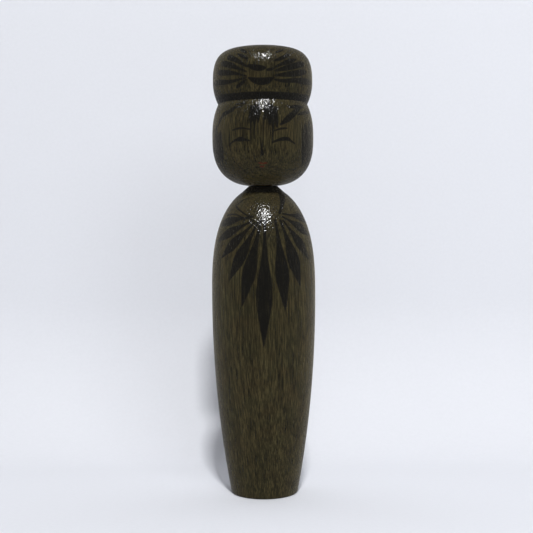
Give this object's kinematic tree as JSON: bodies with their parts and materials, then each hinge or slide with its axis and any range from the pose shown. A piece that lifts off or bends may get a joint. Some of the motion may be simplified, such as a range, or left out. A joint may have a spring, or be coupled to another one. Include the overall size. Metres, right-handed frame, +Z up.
{
  "type": "kokeshi doll",
  "caption": "Turned wooden doll: tapered body with a domed shoulder, a pegged head that turns, and a flat-topped topknot.",
  "frame": {"origin": "centre of the foot, on the plane that the doll stands on", "axes": "+Z up along the turning axis, -Y the way the painted face looks, +X to the doll's left, which is the viewer's right"},
  "size_m": [0.0558, 0.0558, 0.2391],
  "materials": {
    "bog_wood": "dark olive-brown open-pored bog wood, brush-painted in black, rubbed with wax to a soft gloss",
    "peg_wood": "plain turned pale hardwood, unfinished"
  },
  "bodies": {
    "torso": {"body": "bog_wood"},
    "turning_head": {"head": "bog_wood", "neck_peg": "peg_wood", "topknot": "bog_wood", "topknot_peg": "peg_wood"}
  },
  "joints": [
    {"name": "head_turn", "type": "hinge", "parent": "torso", "child": "turning_head", "pos_m": [0, 0, 0.1659], "axis": [0, 0, 1], "continuous": true}
  ]
}
